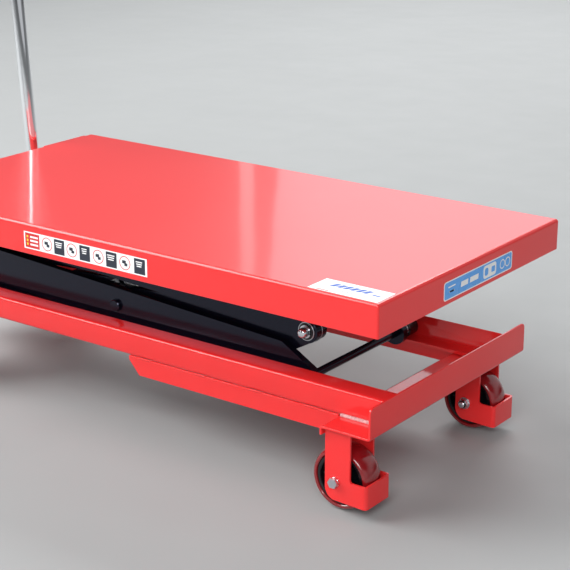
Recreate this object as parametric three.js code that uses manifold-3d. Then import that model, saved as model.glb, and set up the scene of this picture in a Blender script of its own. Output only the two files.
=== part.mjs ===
// Double-scissor hydraulic lift table on casters, fully lowered.
// Millimetres, +Z up, floor at Z = 0. +X is the fixed-caster end, -X the handle end,
// and the table is mirrored about the XZ plane ("near" is -Y, "far" is +Y).
import * as THREE from "three";
import * as BufferGeometryUtils from "three/addons/utils/BufferGeometryUtils.js";
import Module from "manifold-3d";

const wasm = await Module();
wasm.setup();

// ---- driving dimensions -------------------------------------------------------------------
const gap = 0.3; // left between pieces that touch
const running = 0.35; // radial clearance of a pin in its hole
const reach = 1200; // overall length, pedal tip to front edge of the deck
const frontX = reach / 2;

const deck = { length: 1010, width: 520, skirt: 50, top: 354, sheet: 3 };

const channel = { outerY: 175.5, height: 40, flange: 36, wall: 5, bottom: 136.3, bend: 5.5 };
const rollerBay = 240; // far channel: its upper flange stops this far behind the deck's front edge
const member = { width: 448.5, top: 182, bottom: 132, lip: 14, innerBend: 1.2, corner: 8 };
const frontPlate = { ...member, setback: 33, sheet: 3.6, flange: 88 };
const rearPlate = { ...member, setback: 1039.5, sheet: 4, flange: 140 };
const sidePlate = { start: 531, end: 121.5, bottom: 105.5, slant: 21, thick: 5 };

const arm = { height: 60, thick: 12, halfPins: 387.25, pinOffset: 16.6, outerY: 128, spacing: 1.5 };
const boss = { plain: 19, mid: 19.5, chamfer: 50, ramp: 31 };
const stageRise = 75.7; // height from a low end pin to the high end pin, lowered
const rollerSetback = 213; // sliding end pins behind the front edge of the deck
const pivotEar = { thick: 9, radius: 19 };
const shaftReach = { pivot: 146, mid: 144.5, centre: 134, roller: 169.5 }; // half lengths
const pinR = { pivot: 10, centre: 8, mid: 8, baseRoller: 6.5, deckRoller: 8 };
const roller = { radius: 14.6, inner: 141.5, outer: 167 };
const rail = { inner: 138, outer: 169, wall: 3, start: 490, end: 150 };

const wheel = { radius: 50, edge: 43.8, width: 42, rim: 40, y: 185, axleR: 5 };
const fork = { sheet: 3.5, clear: 57, top: 131.7, legBack: 17.5, legFront: 26, guardFront: 55, bend: 6.5 };
const fixedSetback = 98; // fixed wheel axle behind the front edge of the deck
const swivel = { setback: 960, trail: 38, plate: 100 };

const handle = { radius: 12.5, y: 159, top: 980, topSetback: 1114.5, lean: 3.94, corner: 75 };
const leverHinge = { z: 858, out: 27 };
const cylinder = { setback: 655, z: 204, bore: 20, outer: 27, rodR: 15, barrel: 250, headR: 16 };
const bridge = { rear: -112, front: -30, halfSheet: 4, lugHalf: 34, lugIn: 24, lugOut: 34 };
const slot = { length: 23, height: 14, corner: 8.5 }; // half length and half height
const pump = { front: 1040.3, back: 1112, halfWidth: 42, bottom: 92, top: 160 };
const pedal = { pivotSetback: 1056, pivotZ: 184, tipZ: 226, padHalf: 45, padDepth: 48, plungerAt: 36 };

// ---- places worked out from them ----------------------------------------------------------
const rad = THREE.MathUtils.degToRad;
const pinLine = Math.asin(stageRise / (2 * arm.halfPins));
const span = 2 * arm.halfPins * Math.cos(pinLine);
const rollerX = frontX - rollerSetback;
const pivotX = rollerX - span;
const centreX = (rollerX + pivotX) / 2;
const basePinZ = channel.bottom + channel.height / 2;
const midPinZ = basePinZ + stageRise;
const deckPinZ = midPinZ + stageRise;
const lowerCentreZ = (basePinZ + midPinZ) / 2;
const upperCentreZ = (midPinZ + deckPinZ) / 2;
const pinAlong = Math.sqrt(arm.halfPins ** 2 - arm.pinOffset ** 2);
const barTilt = pinLine - Math.atan2(arm.pinOffset, pinAlong);
const outerArmY = arm.outerY - arm.thick / 2;
const innerArmY = outerArmY - arm.thick - arm.spacing;
const frontFace = frontX - frontPlate.setback;
const rearFace = frontX - rearPlate.setback;
const fixedAxleX = frontX - fixedSetback;
const swivelX = frontX - swivel.setback;
const forkHalf = fork.clear / 2 + fork.sheet;

// ---- materials ----------------------------------------------------------------------------
const paint = (color, roughness, metalness = 0) =>
  new THREE.MeshStandardMaterial({ color, roughness, metalness });
const red = paint(0xd8232a, 0.3);
const black = paint(0x14151c, 0.35);
const zinc = paint(0xb9bec6, 0.35, 0.9);
const chrome = paint(0xe4e6ea, 0.08, 1);
const polyurethane = paint(0x7a1419, 0.25);
const nylon = paint(0x17171a, 0.45);
const rubber = paint(0x1c1c1d, 0.8);

// ---- solids -------------------------------------------------------------------------------
function toManifold(geometry) {
  const plain = geometry.clone();
  plain.deleteAttribute("normal");
  plain.deleteAttribute("uv");
  const merged = BufferGeometryUtils.mergeVertices(plain, 1e-4);
  return new wasm.Manifold(
    new wasm.Mesh({
      numProp: 3,
      vertProperties: new Float32Array(merged.attributes.position.array),
      triVerts: new Uint32Array(merged.index.array),
    }),
  );
}

function fromManifold(solid) {
  const mesh = solid.getMesh();
  const geometry = new THREE.BufferGeometry();
  geometry.setAttribute("position", new THREE.BufferAttribute(mesh.vertProperties, 3));
  geometry.setIndex(new THREE.BufferAttribute(mesh.triVerts, 1));
  return geometry;
}

function join(...geometries) {
  return fromManifold(geometries.map(toManifold).reduce((sum, next) => sum.add(next)));
}

function cut(body, ...tools) {
  const left = tools.map(toManifold).reduce((rest, tool) => rest.subtract(tool), toManifold(body));
  return fromManifold(left);
}

function within(body, envelope) {
  return fromManifold(toManifold(body).intersect(toManifold(envelope)));
}

function block(x0, x1, y0, y1, z0, z1) {
  const geometry = new THREE.BoxGeometry(x1 - x0, y1 - y0, z1 - z0);
  return geometry.translate((x0 + x1) / 2, (y0 + y1) / 2, (z0 + z1) / 2);
}

// A shape drawn in X and Z, made thick along Y.
function plateXZ(shape, y0, y1, curveSegments = 8) {
  const depth = y1 - y0;
  const geometry = new THREE.ExtrudeGeometry(shape, { depth, bevelEnabled: false, curveSegments });
  return geometry.rotateX(Math.PI / 2).translate(0, y1, 0);
}

// A shape drawn in Y and Z, made thick along X.
function plateYZ(shape, x0, x1, curveSegments = 6) {
  const depth = x1 - x0;
  const geometry = new THREE.ExtrudeGeometry(shape, { depth, bevelEnabled: false, curveSegments });
  const turn = new THREE.Matrix4().set(0, 0, 1, 0, 1, 0, 0, 0, 0, 1, 0, 0, 0, 0, 0, 1);
  return geometry.applyMatrix4(turn).translate(x0, 0, 0);
}

// A shape drawn in X and Y, made thick along Z.
function plateUp(shape, z0, z1, curveSegments = 6) {
  const depth = z1 - z0;
  const geometry = new THREE.ExtrudeGeometry(shape, { depth, bevelEnabled: false, curveSegments });
  return geometry.translate(0, 0, z0);
}

function rodY(radius, y0, y1, x, z, sides = 20) {
  return new THREE.CylinderGeometry(radius, radius, y1 - y0, sides).translate(x, (y0 + y1) / 2, z);
}

function rodZ(radius, z0, z1, x, y, sides = 20) {
  const geometry = new THREE.CylinderGeometry(radius, radius, z1 - z0, sides).rotateX(Math.PI / 2);
  return geometry.translate(x, y, (z0 + z1) / 2);
}

// A rod or tube blank between two points.
function rodBetween(radius, start, end, sides = 14) {
  const along = new THREE.Vector3().subVectors(end, start);
  const turn = new THREE.Quaternion().setFromUnitVectors(
    new THREE.Vector3(0, 1, 0),
    along.clone().normalize(),
  );
  const middle = new THREE.Vector3().addVectors(start, end).multiplyScalar(0.5);
  const geometry = new THREE.CylinderGeometry(radius, radius, along.length(), sides);
  return geometry.applyQuaternion(turn).translate(middle.x, middle.y, middle.z);
}

function polygon(points) {
  return new THREE.Shape(points.map(([x, y]) => new THREE.Vector2(x, y)));
}

// Points of an arc from one angle to another, in degrees.
function arc(cx, cy, radius, from, to, steps = 4) {
  return Array.from({ length: steps + 1 }, (_, i) => {
    const angle = rad(from + ((to - from) * i) / steps);
    return [cx + radius * Math.cos(angle), cy + radius * Math.sin(angle)];
  });
}

function roundedRectangle(x0, x1, y0, y1, radius) {
  const shape = new THREE.Shape();
  shape.moveTo(x0 + radius, y0);
  shape.absarc(x1 - radius, y0 + radius, radius, -Math.PI / 2, 0);
  shape.absarc(x1 - radius, y1 - radius, radius, 0, Math.PI / 2);
  shape.absarc(x0 + radius, y1 - radius, radius, Math.PI / 2, Math.PI);
  shape.absarc(x0 + radius, y0 + radius, radius, Math.PI, 1.5 * Math.PI);
  return shape;
}

// A ring of revolution about a Y axis; the profile lists [radius, y] and closes on itself.
function ringY(profile, x, y, z, sides) {
  const points = [...profile, profile[0]].map(([r, h]) => new THREE.Vector2(r, h));
  return new THREE.LatheGeometry(points, sides).translate(x, y, z);
}

const table = new THREE.Group();

function add(name, geometry, material) {
  const flat = geometry.index ? geometry.toNonIndexed() : geometry;
  flat.computeVertexNormals();
  const mesh = new THREE.Mesh(flat, material);
  mesh.name = name;
  table.add(mesh);
  return mesh;
}

const sides = [
  ["near", -1],
  ["far", 1],
];

// Low to high, whichever side of the table it is on.
const spanY = (side, inner, outer) => (side < 0 ? [-outer, -inner] : [inner, outer]);

// ---- deck ---------------------------------------------------------------------------------
function deckPan() {
  const half = deck.width / 2;
  const outer = block(frontX - deck.length, frontX, -half, half, deck.top - deck.skirt, deck.top);
  const hollow = block(
    frontX - deck.length + deck.sheet,
    frontX - deck.sheet,
    -half + deck.sheet,
    half - deck.sheet,
    deck.top - deck.skirt - 10,
    deck.top - deck.sheet,
  );
  return cut(outer, hollow);
}

// Square tube that the upper rollers run along, welded under the deck.
function deckRail(side) {
  const [y0, y1] = spanY(side, rail.inner, rail.outer);
  const z0 = deckPinZ + roller.radius + gap;
  const z1 = deck.top - deck.sheet - gap;
  const [x0, x1] = [frontX - rail.start, frontX - rail.end];
  const bore = block(x0 - 1, x1 + 1, y0 + rail.wall, y1 - rail.wall, z0 + rail.wall, z1 - rail.wall);
  return cut(block(x0, x1, y0, y1, z0, z1), bore);
}

const earSpan = (side) => {
  const inner = arm.outerY + arm.spacing;
  return spanY(side, inner, inner + pivotEar.thick);
};

// Ear with a round end about a pin and a straight foot.
function ear(pinX, pinZ, footZ, halfFoot, radius, y0, y1) {
  const up = Math.sign(pinZ - footZ);
  const shape = new THREE.Shape();
  shape.moveTo(pinX - halfFoot, footZ);
  shape.lineTo(pinX - radius, pinZ);
  shape.absarc(pinX, pinZ, radius, Math.PI, 0, up > 0);
  shape.lineTo(pinX + halfFoot, footZ);
  return plateXZ(shape, y0, y1, 10);
}

function deckEar(side) {
  const [y0, y1] = earSpan(side);
  const footZ = deck.top - deck.sheet - gap;
  const blank = ear(pivotX, deckPinZ, footZ, 22, pivotEar.radius, y0, y1);
  return cut(blank, rodY(pinR.pivot + running, y0 - 1, y1 + 1, pivotX, deckPinZ, 20));
}

add("deck_pan", deckPan(), red);
for (const [name, side] of sides) {
  add(`deck_rail_${name}`, deckRail(side), red);
  add(`deck_ear_${name}`, deckEar(side), red);
}

// ---- base frame ---------------------------------------------------------------------------
// On the far side the upper flange is left off over the front end, so the rollers can be lifted in.
function baseChannel(side) {
  const { outerY, height, flange, wall, bottom, bend } = channel;
  const inner = bend - wall;
  const top = bottom + height;
  const outline = [
    ...arc(outerY - bend, bottom + bend, bend, -90, 0),
    ...arc(outerY - bend, top - bend, bend, 0, 90),
    [outerY - flange, top],
    [outerY - flange, top - wall],
    ...arc(outerY - bend, top - bend, inner, 90, 0, 2),
    ...arc(outerY - bend, bottom + bend, inner, 0, -90, 2),
    [outerY - flange, bottom + wall],
    [outerY - flange, bottom],
  ].map(([y, z]) => [side * y, z]);
  const start = rearFace + rearPlate.sheet + 2 * gap;
  const end = frontFace - frontPlate.sheet - 2 * gap;
  const whole = plateYZ(polygon(outline), start, end);
  if (side < 0) return whole;
  const bay = block(frontX - rollerBay, end + 1, 0, outerY - wall, top - wall - 1, top + 1);
  return cut(whole, bay);
}

// Stiffening strip flush under the channel, its rear end cut on a slant.
function sideStrip(side) {
  const top = channel.bottom - gap;
  const start = frontX - sidePlate.start;
  const end = frontX - sidePlate.end;
  const outline = polygon([
    [start, top],
    [start, top - 7],
    [start + sidePlate.slant, sidePlate.bottom],
    [end, sidePlate.bottom],
    [end, top],
  ]);
  const [y0, y1] = spanY(side, channel.outerY - sidePlate.thick, channel.outerY);
  return plateXZ(outline, y0, y1);
}

// Folded cross-member: upright plate, shelf under the channels and a down-turned lip.
function foldedMember(face, inward, { width, top, bottom, sheet, flange, lip, innerBend, corner }) {
  const bend = sheet + innerBend;
  const section = [
    [0, top],
    ...arc(bend, bottom + bend, bend, 180, 270),
    ...arc(flange - bend, bottom + sheet - bend, innerBend, 90, 0, 2),
    [flange - sheet, bottom + sheet - lip],
    [flange, bottom + sheet - lip],
    ...arc(flange - bend, bottom + sheet - bend, bend, 0, 90),
    ...arc(bend, bottom + bend, innerBend, 270, 180, 2),
    [sheet, top],
  ].map(([s, z]) => [face + inward * s, z]);
  const half = width / 2;
  const outline = polygon([
    [-half, bottom - lip],
    [half, bottom - lip],
    ...arc(half - corner, top - corner, corner, 0, 90),
    ...arc(corner - half, top - corner, corner, 90, 180),
  ]);
  const ends = [face - inward, face + inward * (flange + 1)];
  return within(
    plateXZ(polygon(section), -half, half),
    plateYZ(outline, Math.min(...ends), Math.max(...ends)),
  );
}

const leanOf = (z) => (handle.top - z) * Math.tan(rad(handle.lean));
const uprightPoint = (side, z) =>
  new THREE.Vector3(frontX - handle.topSetback + leanOf(z), side * handle.y, z);

// Rear member with the ears of the fixed pivots and the handle's sleeves welded to it.
function rearMember() {
  const parts = [foldedMember(rearFace, 1, rearPlate)];
  const holes = [];
  for (const [, side] of sides) {
    const [y0, y1] = earSpan(side);
    parts.push(ear(pivotX, basePinZ, rearPlate.bottom + rearPlate.sheet - 1, 34, 20, y0, y1));
    parts.push(block(rearFace + 3, pivotX, y0, y1, rearPlate.bottom + 2.5, basePinZ - 8));
    holes.push(rodY(pinR.pivot + running, y0 - 1, y1 + 1, pivotX, basePinZ, 20));
    parts.push(rodBetween(17, uprightPoint(side, 112), uprightPoint(side, 196)));
    holes.push(rodBetween(handle.radius + gap, uprightPoint(side, 118), uprightPoint(side, 230)));
    const pad = side * handle.y;
    parts.push(block(rearFace - 12, rearFace + 1, pad - 9, pad + 9, 138, 178));
  }
  return cut(join(...parts), ...holes);
}

for (const [name, side] of sides) {
  add(`base_channel_${name}`, baseChannel(side), red);
  add(`side_strip_${name}`, sideStrip(side), red);
}
add("front_cross_member", foldedMember(frontFace, -1, frontPlate), red);
add("rear_cross_member", rearMember(), red);

// ---- push handle --------------------------------------------------------------------------
function bend(centre, start, end) {
  const out = new THREE.Vector3().subVectors(start, centre);
  const across = new THREE.Vector3().subVectors(end, centre);
  const turns = 8;
  const points = [];
  for (let i = 0; i <= turns; i += 1) {
    const angle = (i / turns) * (Math.PI / 2);
    points.push(
      centre
        .clone()
        .addScaledVector(out, Math.cos(angle))
        .addScaledVector(across, Math.sin(angle)),
    );
  }
  return points;
}

// A line through chosen stations, so that a sweep has its sections exactly there.
class StationLine extends THREE.Curve {
  constructor(stations) {
    super();
    this.stations = stations;
  }
  getPoint(t, target = new THREE.Vector3()) {
    const place = Math.min(Math.max(t, 0), 1) * (this.stations.length - 1);
    const index = Math.min(Math.floor(place), this.stations.length - 2);
    return target.lerpVectors(this.stations[index], this.stations[index + 1], place - index);
  }
  getPointAt(u, target) {
    return this.getPoint(u, target);
  }
  getTangentAt(u, target) {
    return this.getTangent(u, target);
  }
}

function pushHandle() {
  const slope = new THREE.Vector3(-Math.sin(rad(handle.lean)), 0, Math.cos(rad(handle.lean)));
  const top = uprightPoint(0, handle.top);
  const stations = [];
  for (const side of [-1, 1]) {
    const centre = top
      .clone()
      .addScaledVector(slope, -handle.corner)
      .add(new THREE.Vector3(0, side * (handle.y - handle.corner), 0));
    const outer = centre.clone().add(new THREE.Vector3(0, side * handle.corner, 0));
    const crown = centre.clone().addScaledVector(slope, handle.corner);
    const half = [uprightPoint(side, 119), ...bend(centre, outer, crown)];
    stations.push(...(side < 0 ? half : half.reverse()));
  }
  const section = new THREE.Shape().absarc(0, 0, handle.radius, 0, 2 * Math.PI);
  return new THREE.ExtrudeGeometry(section, {
    steps: stations.length - 1,
    curveSegments: 14,
    extrudePath: new StationLine(stations),
  });
}

add("push_handle", pushHandle(), chrome);

// ---- scissor arms -------------------------------------------------------------------------
function tangentAngle(centre, radius, point, way) {
  const away = Math.atan2(point[1] - centre[1], point[0] - centre[0]);
  const distance = Math.hypot(point[0] - centre[0], point[1] - centre[1]);
  return away + way * Math.acos(radius / distance);
}

// One end of an arm: the pin sits low, the top corner is cut away and the boss bulges below.
function armEnd(radius) {
  const half = arm.height / 2;
  const pin = [pinAlong, -arm.pinOffset];
  const rampStart = [pinAlong - boss.ramp, -half];
  const chamferStart = [pinAlong - boss.chamfer, half];
  const from = tangentAngle(pin, radius, rampStart, 1);
  const to = tangentAngle(pin, radius, chamferStart, -1);
  const steps = 10;
  const degrees = THREE.MathUtils.radToDeg;
  const round = arc(pin[0], pin[1], radius, degrees(from), degrees(to), steps);
  return [rampStart, ...round, chamferStart];
}

// The whole arm, pinned at its middle: it falls towards +X, or rises with rise = -1.
function armGeometry(frontRadius, rearRadius, frontHole, rearHole, rise) {
  const rear = armEnd(rearRadius).map(([u, v]) => [-u, -v]);
  const outline = [...armEnd(frontRadius), ...rear].map(([u, v]) => [u, rise * v]);
  const blank = plateXZ(polygon(outline), -arm.thick / 2, arm.thick / 2);
  const drill = (radius, u, v) => rodY(radius + running, -arm.thick, arm.thick, u, rise * v, 20);
  return cut(
    blank,
    drill(frontHole, pinAlong, -arm.pinOffset),
    drill(pinR.centre, 0, 0),
    drill(rearHole, -pinAlong, arm.pinOffset),
  );
}

const armKinds = [
  // name, front boss, rear boss, front pin, rear pin, falls or rises, distance out, centre height
  ["lower_outer_arm", boss.plain, boss.mid, pinR.baseRoller, pinR.mid, 1, outerArmY, lowerCentreZ],
  ["lower_inner_arm", boss.mid, boss.plain, pinR.mid, pinR.pivot, -1, innerArmY, lowerCentreZ],
  ["upper_outer_arm", boss.mid, boss.plain, pinR.mid, pinR.pivot, 1, outerArmY, upperCentreZ],
  ["upper_inner_arm", boss.plain, boss.mid, pinR.deckRoller, pinR.mid, -1, innerArmY, upperCentreZ],
];
for (const [kind, frontBoss, rearBoss, frontPin, rearPin, rise, y, z] of armKinds) {
  for (const [name, side] of sides) {
    const mesh = add(`${kind}_${name}`, armGeometry(frontBoss, rearBoss, frontPin, rearPin, rise), black);
    mesh.position.set(centreX, side * y, z);
    mesh.rotation.y = rise * barTilt;
  }
}

// ---- pins, shafts and rollers -------------------------------------------------------------
const shaft = (radius, half, x, z) => rodY(radius, -half, half, x, z);
add("deck_pivot_shaft", shaft(pinR.pivot, shaftReach.pivot, pivotX, deckPinZ), zinc);
add("base_pivot_shaft", shaft(pinR.pivot, shaftReach.pivot, pivotX, basePinZ), zinc);
add("mid_front_shaft", shaft(pinR.mid, shaftReach.mid, rollerX, midPinZ), chrome);
add("mid_rear_shaft", shaft(pinR.mid, shaftReach.mid, pivotX, midPinZ), chrome);
add("lower_centre_shaft", shaft(pinR.centre, shaftReach.centre, centreX, lowerCentreZ), black);
add("upper_centre_shaft", shaft(pinR.centre, shaftReach.centre, centreX, upperCentreZ), black);

function rollerRing(side, bore, z) {
  const half = (roller.outer - roller.inner) / 2;
  const y = (side * (roller.outer + roller.inner)) / 2;
  const profile = [
    [bore, -half],
    [roller.radius - 1.5, -half],
    [roller.radius, -half + 1.5],
    [roller.radius, half - 1.5],
    [roller.radius - 1.5, half],
    [bore, half],
  ];
  return ringY(profile, rollerX, y, z, 20);
}

add("base_roller_shaft", shaft(pinR.baseRoller, shaftReach.roller, rollerX, basePinZ), black);
add("deck_roller_shaft", shaft(pinR.deckRoller, shaftReach.roller, rollerX, deckPinZ), black);
for (const [name, side] of sides) {
  add(`base_roller_${name}`, rollerRing(side, pinR.baseRoller + running, basePinZ), nylon);
  add(`deck_roller_${name}`, rollerRing(side, pinR.deckRoller + running, deckPinZ), nylon);
}

// ---- wheels and casters -------------------------------------------------------------------
// Crowned tread: its section is a half ellipse on straight sides.
function tread(x, y) {
  const half = wheel.width / 2;
  const crown = wheel.radius - wheel.edge;
  const steps = 8;
  const profile = [[wheel.rim + gap, -half]];
  for (let i = 0; i <= steps; i += 1) {
    const angle = rad(-90 + (180 * i) / steps);
    profile.push([wheel.edge + crown * Math.cos(angle), half * Math.sin(angle)]);
  }
  profile.push([wheel.rim + gap, half]);
  return ringY(profile, x, y, wheel.radius, 28);
}

function core(x, y) {
  const half = wheel.width / 2;
  const bore = wheel.axleR + running;
  const profile = [
    [bore, -half + 0.5],
    [15, -half + 0.5],
    [16, -8],
    [31, -6],
    [34, -half + 2],
    [wheel.rim, -half + 2],
    [wheel.rim, half - 2],
    [34, half - 2],
    [31, 6],
    [16, 8],
    [15, half - 0.5],
    [bore, half - 0.5],
  ];
  return ringY(profile, x, y, wheel.radius, 18);
}

// Bolt with its hexagon head on the outward side and its nut on the other.
function axleBolt(x, y, outward) {
  const face = forkHalf + gap;
  const part = (radius, from, to, sides) => {
    const ends = [y + outward * from, y + outward * to];
    return rodY(radius, Math.min(...ends), Math.max(...ends), x, wheel.radius, sides);
  };
  const shank = part(wheel.axleR, -face - 11, face + 6, 20);
  return join(shank, part(9.2, face, face + 7, 6), part(9.2, -face - 8, -face, 6));
}

// Leg of a fixed fork with the low arm that carries the toe guard.
function fixedLeg(y0, y1) {
  const { radius } = wheel;
  const shape = new THREE.Shape();
  const back = fixedAxleX - fork.legBack;
  const leg = fixedAxleX + fork.legFront;
  const nose = fixedAxleX + fork.guardFront;
  shape.moveTo(back, fork.top);
  shape.lineTo(back, radius - 10);
  shape.absarc(back + 20, radius - 10, 20, Math.PI, 1.4 * Math.PI);
  shape.lineTo(nose, radius - 31);
  shape.lineTo(nose, radius + 5);
  shape.lineTo(leg + 4, radius + 5);
  shape.absarc(leg + 4, radius + 9, 4, -Math.PI / 2, -Math.PI, true);
  shape.lineTo(leg, fork.top);
  return plateXZ(shape, y0, y1, 6);
}

function fixedFork(side) {
  const y = side * wheel.y;
  const nose = fixedAxleX + fork.guardFront;
  const plate = block(
    fixedAxleX - fork.legBack,
    fixedAxleX + fork.legFront,
    y - forkHalf,
    y + forkHalf,
    fork.top - fork.sheet,
    fork.top,
  );
  const guardTop = wheel.radius + 5;
  const guard = block(nose - fork.sheet, nose, y - forkHalf, y + forkHalf, wheel.radius - 31, guardTop);
  const legs = [
    fixedLeg(y - forkHalf, y - forkHalf + fork.sheet),
    fixedLeg(y + forkHalf - fork.sheet, y + forkHalf),
  ];
  const folded = roundedRectangle(fixedAxleX - 60, nose, y - forkHalf, y + forkHalf, fork.bend);
  const body = within(join(plate, guard, ...legs), plateUp(folded, 0, fork.top));
  const axle = rodY(wheel.axleR + running, y - forkHalf - 1, y + forkHalf + 1, fixedAxleX, wheel.radius);
  return cut(body, axle);
}

function swivelPlate(side) {
  const y = side * wheel.y;
  const half = swivel.plate / 2;
  const outline = roundedRectangle(swivelX - half, swivelX + half, y - 42, y + 42, 10);
  return join(plateUp(outline, 127.7, fork.top), rodZ(31, 121.5, 128, swivelX, y, 20));
}

function swivelFork(side) {
  const y = side * wheel.y;
  const axleX = swivelX - swivel.trail;
  const top = roundedRectangle(swivelX - 32, swivelX + 32, y - forkHalf, y + forkHalf, 14);
  const leg = (y0, y1) => {
    const shape = new THREE.Shape();
    shape.moveTo(swivelX + 30, 120);
    shape.lineTo(axleX - 17, 120);
    shape.lineTo(axleX - 22, 106);
    shape.lineTo(axleX - 17, wheel.radius);
    shape.absarc(axleX, wheel.radius, 17, Math.PI, 1.9 * Math.PI);
    shape.lineTo(swivelX + 30, 104);
    return plateXZ(shape, y0, y1, 8);
  };
  const legs = [leg(y - forkHalf, y - forkHalf + fork.sheet), leg(y + forkHalf - fork.sheet, y + forkHalf)];
  const bore = rodY(wheel.axleR + running, y - forkHalf - 1, y + forkHalf + 1, axleX, wheel.radius);
  return cut(join(plateUp(top, 117, 121.2), ...legs), bore);
}

// Foot-operated brake: a bent pad on a pin between the legs, above the back of the wheel.
const brakePin = { x: swivelX - swivel.trail - 13, z: 110.5 };
function brakePedal(side) {
  const y = side * wheel.y;
  const pad = polygon([
    [brakePin.x + 5, 107.5],
    [brakePin.x + 5, 113.5],
    [brakePin.x - 12, 115],
    [brakePin.x - 50, 105],
    [brakePin.x - 50, 100.5],
    [brakePin.x - 10, 109],
  ]);
  const pinHalf = fork.clear / 2 - gap;
  const pin = rodY(3, y - pinHalf, y + pinHalf, brakePin.x, brakePin.z, 12);
  return join(plateXZ(pad, y - 20, y + 20), pin);
}

for (const [name, side] of sides) {
  const y = side * wheel.y;
  add(`fixed_fork_${name}`, fixedFork(side), red);
  add(`fixed_axle_${name}`, axleBolt(fixedAxleX, y, side), zinc);
  add(`fixed_tread_${name}`, tread(fixedAxleX, y), polyurethane);
  add(`fixed_core_${name}`, core(fixedAxleX, y), nylon);
  add(`swivel_plate_${name}`, swivelPlate(side), zinc);
  add(`swivel_fork_${name}`, swivelFork(side), zinc);
  add(`swivel_axle_${name}`, axleBolt(swivelX - swivel.trail, y, side), zinc);
  add(`swivel_tread_${name}`, tread(swivelX - swivel.trail, y), polyurethane);
  add(`swivel_core_${name}`, core(swivelX - swivel.trail, y), nylon);
  add(`brake_pedal_${name}`, brakePedal(side), rubber);
}

// ---- hydraulic cylinder -------------------------------------------------------------------
const rodEnd = { x: frontX - cylinder.setback, z: cylinder.z };
const cylinderAngle = Math.atan2(rodEnd.z - basePinZ, rodEnd.x - pivotX);
const cylinderLength = Math.hypot(rodEnd.z - basePinZ, rodEnd.x - pivotX);

// Turned parts drawn along +X from the barrel's pin, then swung up to the cylinder's slope.
function alongCylinder(geometry) {
  return geometry.rotateY(-cylinderAngle).translate(pivotX, 0, basePinZ);
}

function rodX(radius, x0, x1, facets = 20) {
  const geometry = new THREE.CylinderGeometry(radius, radius, x1 - x0, facets).rotateZ(Math.PI / 2);
  return geometry.translate((x0 + x1) / 2, 0, 0);
}

function cylinderBarrel() {
  const eye = rodY(boss.plain, -20, 20, 0, 0);
  const body = join(eye, rodX(17, 8, 66), rodX(cylinder.outer, 62, cylinder.barrel));
  return alongCylinder(
    cut(
      body,
      rodY(pinR.pivot + running, -21, 21, 0, 0, 20),
      rodX(cylinder.bore, 76, cylinder.barrel - 24),
      rodX(cylinder.rodR + 0.5, cylinder.barrel - 30, cylinder.barrel + 1),
    ),
  );
}

function cylinderRod() {
  const shank = rodX(cylinder.rodR, 140, cylinderLength - 6);
  const head = rodY(cylinder.headR, -20, 20, cylinderLength, 0);
  const pin = rodY(8, -37, 37, cylinderLength, 0);
  return alongCylinder(join(shank, head, pin));
}

// Bridge between the lower outer arms, between the inner arms above and below it, with two
// slotted lugs that the rod's cross pin pushes. Drawn in the lower outer arm's own directions.
function liftBridge() {
  const dx = rodEnd.x - centreX;
  const dz = rodEnd.z - lowerCentreZ;
  const u = dx * Math.cos(barTilt) - dz * Math.sin(barTilt);
  const v = dx * Math.sin(barTilt) + dz * Math.cos(barTilt);
  const { rear, front, halfSheet, lugHalf, lugIn, lugOut } = bridge;
  const half = outerArmY - arm.thick / 2 - gap;
  const middle = (stageRise * Math.cos(barTilt)) / 2;
  const slope = Math.tan(2 * barTilt);
  const atU = (x) => middle + slope * x;
  const deckPlate = polygon([
    [rear, atU(rear) - halfSheet],
    [front, atU(front) - halfSheet],
    [front, atU(front) + halfSheet],
    [rear, atU(rear) + halfSheet],
  ]);
  const lug = polygon([
    [u - lugHalf, atU(u - lugHalf) - 1],
    [u - lugHalf, v + 4],
    [u - lugHalf + 14, v - 22],
    [u + lugHalf - 14, v - 22],
    [u + lugHalf, v + 4],
    [u + lugHalf - 7, atU(u + lugHalf - 7) - 1],
  ]);
  const { length, height, corner } = slot;
  const hole = roundedRectangle(u - length, u + length, v - height, v + height, corner);
  const lugs = [-1, 1].map((side) => plateXZ(lug, ...spanY(side, lugIn, lugOut)));
  const body = cut(join(plateXZ(deckPlate, -half, half), ...lugs), plateXZ(hole, -half, half, 4));
  return body.rotateY(barTilt).translate(centreX, 0, lowerCentreZ);
}

add("cylinder_barrel", cylinderBarrel(), red);
add("cylinder_rod", cylinderRod(), chrome);
add("lift_bridge", liftBridge(), black);

// ---- foot pump, pedal and release lever ---------------------------------------------------
const pumpFront = frontX - pump.front;
const pumpBack = frontX - pump.back;
const pedalX = frontX - pedal.pivotSetback;
const plungerX = pedalX - pedal.plungerAt;

function pumpBlock() {
  const body = block(pumpBack, pumpFront, -pump.halfWidth, pump.halfWidth, pump.bottom, pump.top);
  const ears = [-1, 1].map((side) => {
    const [y0, y1] = spanY(side, 10, 18);
    return ear(pedalX, pedal.pivotZ, pump.top - 1, 14, 12, y0, y1);
  });
  const pin = rodY(6, -22, 22, pedalX, pedal.pivotZ);
  const well = rodZ(9.4, pump.bottom + 20, pump.top + 1, plungerX, 0, 20);
  return cut(join(body, ...ears, pin), well);
}

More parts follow.
